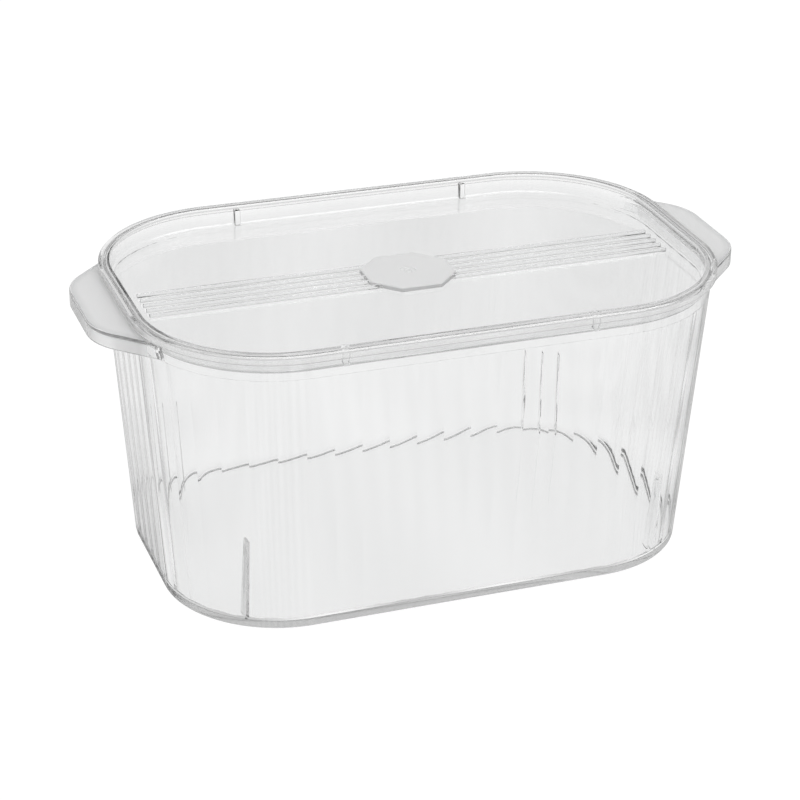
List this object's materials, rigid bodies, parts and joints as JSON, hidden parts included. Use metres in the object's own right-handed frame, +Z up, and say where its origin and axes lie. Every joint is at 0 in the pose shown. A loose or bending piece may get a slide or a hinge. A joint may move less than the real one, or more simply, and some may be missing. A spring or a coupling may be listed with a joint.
{
  "type": "food storage container",
  "caption": "Clear plastic storage bin with tapered fluted walls, a handle at each end and a lift-off lid with a sunk panel.",
  "frame": {"origin": "middle of the face that the bin stands on", "axes": "+X along the length, from one handle to the other; +Y across the width; +Z up out of the bin"},
  "size_m": [0.3366, 0.195, 0.151],
  "materials": {
    "bin_plastic": "clear, polished, with frosted handle tops",
    "lid_plastic": "clear, polished, with a frosted middle pad"
  },
  "bodies": {
    "root": {"bin": "bin_plastic", "lid": "lid_plastic"}
  },
  "joints": []
}
